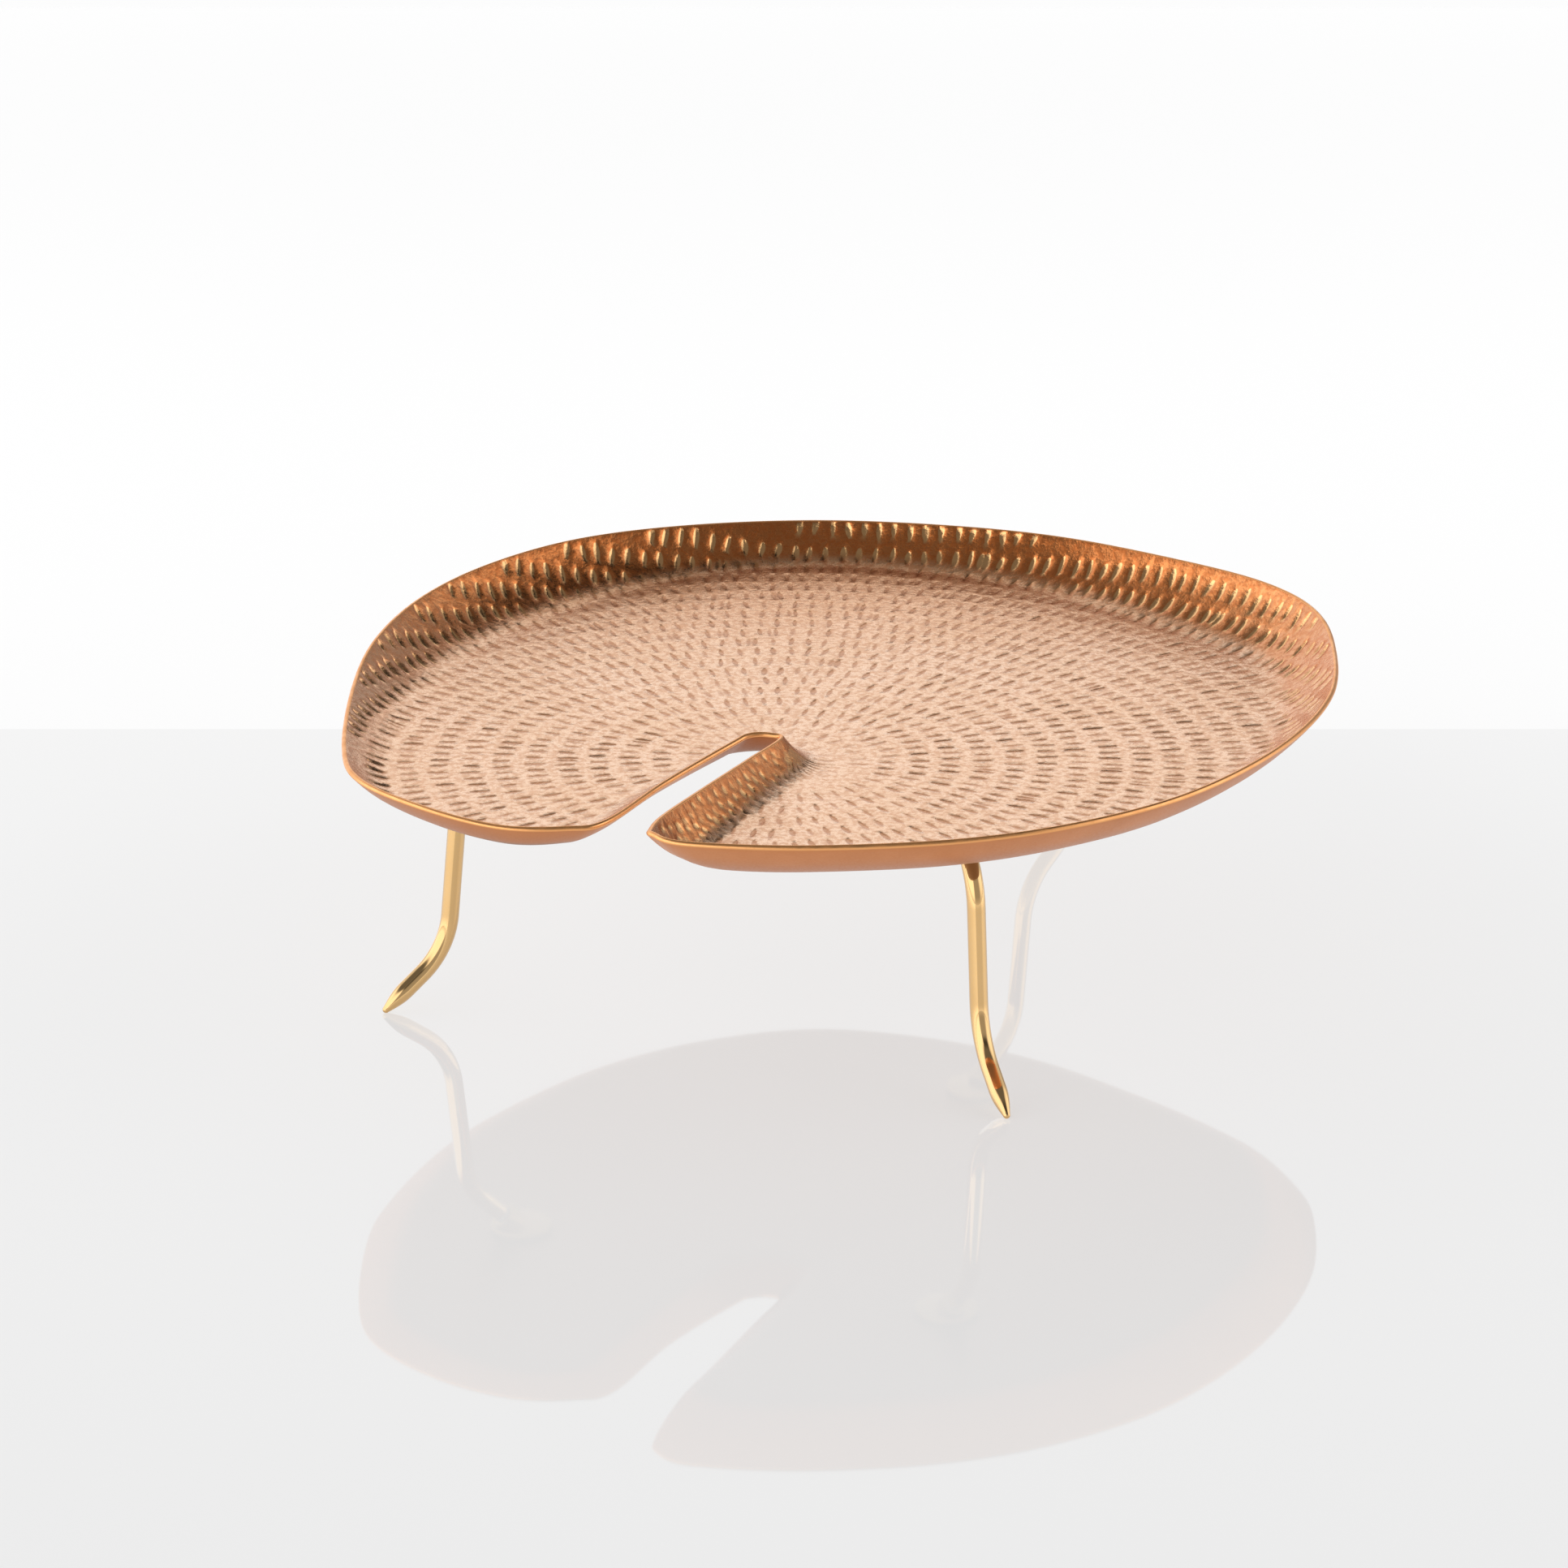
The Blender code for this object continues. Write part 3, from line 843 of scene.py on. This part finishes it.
def build_tray(materials):
    rim, foot, knots = outline()
    count = len(rim)
    surface = DishSurface(rim, foot, knots)
    lip = lip_rows(rim, foot)

    # the hammered upper face
    strokes = make_strokes(surface) + make_pits(surface, rim, foot, knots)
    creases = make_creases(surface)
    made, triangles, sources = triangulate(surface, strokes + creases, lip[0])
    near = KDTree(len(strokes))
    for k, stroke in enumerate(strokes):
        near.insert(stroke.centre, k)
    near.balance()
    vertices = []
    marks = []
    station_vertex = {}
    for index, (plan, source) in enumerate(zip(made, sources)):
        stations = [s for s in source if s < count]
        if stations:
            for station in stations:
                station_vertex[station] = index
            vertices.append(tuple(lip[0][stations[0]]))
            marks.append(0.0)
            continue
        point, normal = surface.at(plan.x, plan.y)
        close = [strokes[k] for _, k, _ in near.find_range(point, STROKE_REACH)]
        if (point.xy - FAN_CORNER).length < 1.2 * FAN_REACH:
            close += creases
        vertex, mark = struck(surface, point, normal, close)
        vertices.append(vertex)
        marks.append(mark)

    # a triangle with all corners on the edge may lie across the notch, outside the leaf
    inside = Outline(lip[0])
    faces = []
    for face in triangles:
        on_rim = all(min(sources[v], default=count) < count for v in face)
        middle = sum((made[v] for v in face), Vector((0.0, 0.0))) / 3
        if not on_rim or inside.holds(middle):
            faces.append(tuple(face))
    kinds = [DISH] * len(faces)

    # the lip, the outside and the flat underside
    previous = [station_vertex[k] for k in range(count)]
    bands = [(row, LIP) for row in lip[1:]] + [(row, OUTSIDE) for row in outside_rows(rim, foot)]
    for row, kind in bands:
        current = [len(vertices) + k for k in range(count)]
        vertices.extend(map(tuple, row))
        marks.extend([0.0] * count)
        for k in range(count):
            after = (k + 1) % count
            faces.append((previous[after], previous[k], current[k], current[after]))
            kinds.append(kind)
        previous = current
    faces.append(tuple(reversed(previous)))
    kinds.append(OUTSIDE)

    mesh = bpy.data.meshes.new("leaf_dish")
    mesh.from_pydata(vertices, [], faces)
    attribute = mesh.attributes.new("stroke", "FLOAT", "POINT")
    attribute.data.foreach_set("value", marks)
    for material in materials:
        mesh.materials.append(material)
    mesh.polygons.foreach_set("material_index", kinds)
    mesh.shade_smooth()
    mesh.set_sharp_from_angle(angle=math.radians(50))
    mesh.validate()
    tray = bpy.data.objects.new("leaf_dish", mesh)
    bpy.context.scene.collection.objects.link(tray)
    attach(tray, "root")
    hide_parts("tray")
    print("leaf_dish:", len(mesh.polygons), "faces", len(strokes), "strokes")


# ---- legs -----------------------------------------------------------------------
def leg_frame(tip, splay):
    """Matrix with its origin at the leg's tip and X pointing in under the tray."""
    return Matrix.Translation((*tip, 0.0)) @ Matrix.Rotation(splay + math.pi, 4, "Z")


def stub_frame(distance):
    """Matrix at `distance` down the stub from the tray, with Z pointing up the stub."""
    tilt = Matrix.Rotation(STUB_TILT, 4, "Y")
    return Matrix.Translation(STUB_ROOT - STUB * distance) @ tilt


def fillet(corner, before, after, radius, steps):
    """Points of the arc that rounds `corner`, from the `before` side to the `after` side."""
    inward = (before - corner).normalized()
    onward = (after - corner).normalized()
    half = inward.angle(onward) / 2
    reach = radius / math.tan(half)
    centre = corner + (inward + onward).normalized() * (radius / math.sin(half))
    start = corner + inward * reach - centre
    end = corner + onward * reach - centre
    sweep = start.angle(end)
    return [
        centre
        + (start * math.sin(sweep * (1 - k / steps)) + end * math.sin(sweep * k / steps))
        / math.sin(sweep)
        for k in range(steps + 1)
    ]


def leg_line():
    """(place, radius) down the middle of a leg, from its rounded tip to the stub's end."""
    toward = ANKLE.normalized()
    first = TIP_RADIUS / toward.z  # the rounded end's middle, for the tip to touch the table
    rows = []
    for k in range(TIP_STEPS + 1):
        turn = k / TIP_STEPS * math.pi / 2
        rows.append((toward * (first - TIP_RADIUS * math.cos(turn)), TIP_RADIUS * math.sin(turn)))
    rows[0] = (rows[0][0], TIP_RADIUS * 0.02)  # a pinhead, for the end ring to stay a ring
    for k in range(1, TAPER_STEPS + 1):
        far = first + (TIP_TAPER - first) * k / TAPER_STEPS
        share = (far - first) / (TIP_TAPER - first)
        radius = TIP_RADIUS + (ROD_RADIUS - TIP_RADIUS) * math.sin(share * math.pi / 2)
        rows.append((toward * far, radius))
    end = STUB_ROOT - STUB * LEG_END
    for place in fillet(ANKLE, Vector((0, 0, 0)), KNEE, ANKLE_BEND, 26):
        rows.append((place, ROD_RADIUS))
    for place in fillet(KNEE, ANKLE, end, KNEE_BEND, 24):
        rows.append((place, ROD_RADIUS))
    rows.append((end - STUB * LEG_EDGE, ROD_RADIUS))
    rows.append((end, ROD_RADIUS - LEG_EDGE))
    return rows


def finished_mesh(name, shape):
    bmesh.ops.recalc_face_normals(shape, faces=shape.faces)
    mesh = bpy.data.meshes.new(name)
    shape.to_mesh(mesh)
    shape.free()
    mesh.shade_smooth()
    mesh.set_sharp_from_angle(angle=math.radians(40))
    return mesh


def sweep_mesh(name, rows, sides):
    """A round bar along `rows`, which lie in the XZ plane, closed at both ends."""
    shape = bmesh.new()
    rings = []
    places = [row[0] for row in rows]
    for k, (place, radius) in enumerate(rows):
        ahead = places[min(k + 1, len(rows) - 1)] - places[max(k - 1, 0)]
        tangent = ahead.normalized()
        side = Vector((0, 1, 0))
        up = tangent.cross(side)
        ring = []
        for s in range(sides):
            turn = 2 * math.pi * s / sides
            spoke = side * math.cos(turn) + up * math.sin(turn)
            ring.append(shape.verts.new(place + spoke * radius))
        rings.append(ring)
    for low, high in zip(rings, rings[1:]):
        for s in range(sides):
            after = (s + 1) % sides
            shape.faces.new((low[s], low[after], high[after], high[s]))
    shape.faces.new(list(reversed(rings[0])))
    shape.faces.new(rings[-1])
    return finished_mesh(name, shape)


def lathe_mesh(name, profile, sides):
    """A turned solid round Z from (radius, height) rows. Both ends lie on the axis or meet."""
    shape = bmesh.new()
    rings = []
    for radius, height in profile:
        if radius == 0:
            rings.append([shape.verts.new((0, 0, height))])
            continue
        turns = [2 * math.pi * s / sides for s in range(sides)]
        rings.append(
            [shape.verts.new((radius * math.cos(t), radius * math.sin(t), height)) for t in turns]
        )
    pairs = list(zip(rings, rings[1:]))
    if profile[0][0] > 0:
        pairs.append((rings[-1], rings[0]))
    for low, high in pairs:
        for s in range(sides):
            after = (s + 1) % sides
            corners = [low[s % len(low)], low[after % len(low)]]
            corners += [high[after % len(high)], high[s % len(high)]]
            shape.faces.new(list(dict.fromkeys(corners)))
    return finished_mesh(name, shape)


def add_piece(name, mesh, matrix, material, node):
    """A visible piece that takes the place of one node of the CAD model."""
    mesh.materials.append(material)
    piece = bpy.data.objects.new(name, mesh)
    bpy.context.scene.collection.objects.link(piece)
    piece.matrix_world = matrix
    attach(piece, "root")
    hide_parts(node)


def socket_mesh(name, frame_matrix):
    """Flange and inclined boss joined into one solid, with the stud's bore.

    The boss isn't shaved level with the flange: one side of its upper end stands up to
    1.6 mm inside the tray's shell, where nothing shows.
    """
    top = UNDERSIDE - GAP
    soft = SOCKET_SOFT
    flange = lathe_mesh(
        f"{name}_flange",
        (
            (0.0, top),
            (FLANGE_RADIUS - FLANGE_EDGE, top),
            (FLANGE_RADIUS, top - FLANGE_EDGE),
            (FLANGE_RADIUS, top - FLANGE_HEIGHT + 2 * soft),
            (FLANGE_RADIUS - 0.3 * soft, top - FLANGE_HEIGHT + soft),
            (FLANGE_RADIUS - soft, top - FLANGE_HEIGHT + 0.3 * soft),
            (FLANGE_RADIUS - 2 * soft, top - FLANGE_HEIGHT),
            (0.0, top - FLANGE_HEIGHT),
        ),
        96,
    )
    boss = lathe_mesh(
        f"{name}_boss",
        (
            (0.0, SOCKET_REACH - BOSS_START),
            (SOCKET_RADIUS, SOCKET_REACH - BOSS_START),
            (SOCKET_RADIUS, soft),
            (SOCKET_RADIUS - 0.3 * soft, 0.3 * soft),
            (SOCKET_RADIUS - soft, 0.0),
            (BORE_RADIUS + BORE_EDGE, 0.0),
            (BORE_RADIUS, BORE_EDGE),
            (BORE_RADIUS, BORE_DEPTH),
            (0.0, BORE_DEPTH),
        ),
        64,
    )
    body = bpy.data.objects.new(f"{name}_body", flange)
    arm = bpy.data.objects.new(f"{name}_arm", boss)
    scene = bpy.context.scene.collection
    scene.objects.link(body)
    scene.objects.link(arm)
    body.matrix_world = frame_matrix @ Matrix.Translation((STUB_ROOT.x, 0, 0))
    arm.matrix_world = frame_matrix @ stub_frame(SOCKET_REACH)
    union = body.modifiers.new("union", "BOOLEAN")
    union.operation = "UNION"
    union.solver = "EXACT"
    union.object = arm
    bpy.context.view_layer.update()
    graph = bpy.context.evaluated_depsgraph_get()
    mesh = bpy.data.meshes.new_from_object(body.evaluated_get(graph))
    mesh.name = name
    matrix = body.matrix_world.copy()
    bpy.data.objects.remove(body, do_unlink=True)
    bpy.data.objects.remove(arm, do_unlink=True)
    mesh.shade_smooth()
    mesh.set_sharp_from_angle(angle=math.radians(30))
    return mesh, matrix


def build_legs():
    brass = polished_brass()
    turned = turned_brass()
    steel = zinc_steel()
    rows = leg_line()
    for name, tip, splay in LEGS:
        matrix = leg_frame(tip, splay)
        rod = sweep_mesh(f"rod_{name}", rows, 48)
        add_piece(f"rod_{name}", rod, matrix, brass, f"leg_{name}")
        mesh, where = socket_mesh(f"socket_{name}", matrix)
        add_piece(f"socket_{name}", mesh, where, turned, f"leg_socket_{name}")
        edge = WASHER_THICKNESS / 4
        washer = lathe_mesh(
            f"washer_{name}",
            (
                (BORE_RADIUS, 0.0),
                (ROD_RADIUS - edge, 0.0),
                (ROD_RADIUS, edge),
                (ROD_RADIUS, WASHER_THICKNESS - edge),
                (ROD_RADIUS - edge, WASHER_THICKNESS),
                (BORE_RADIUS, WASHER_THICKNESS),
            ),
            64,
        )
        where = matrix @ stub_frame(LEG_END - GAP)
        add_piece(f"washer_{name}", washer, where, steel, f"leg_washer_{name}")
        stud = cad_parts[f"leg_stud_{name}"]
        stud.data.materials.clear()
        stud.data.materials.append(steel)


add_camera()
add_table()
add_studio_light()
build_tray((hammered_copper(), polished_lip(), satin_copper()))
build_legs()
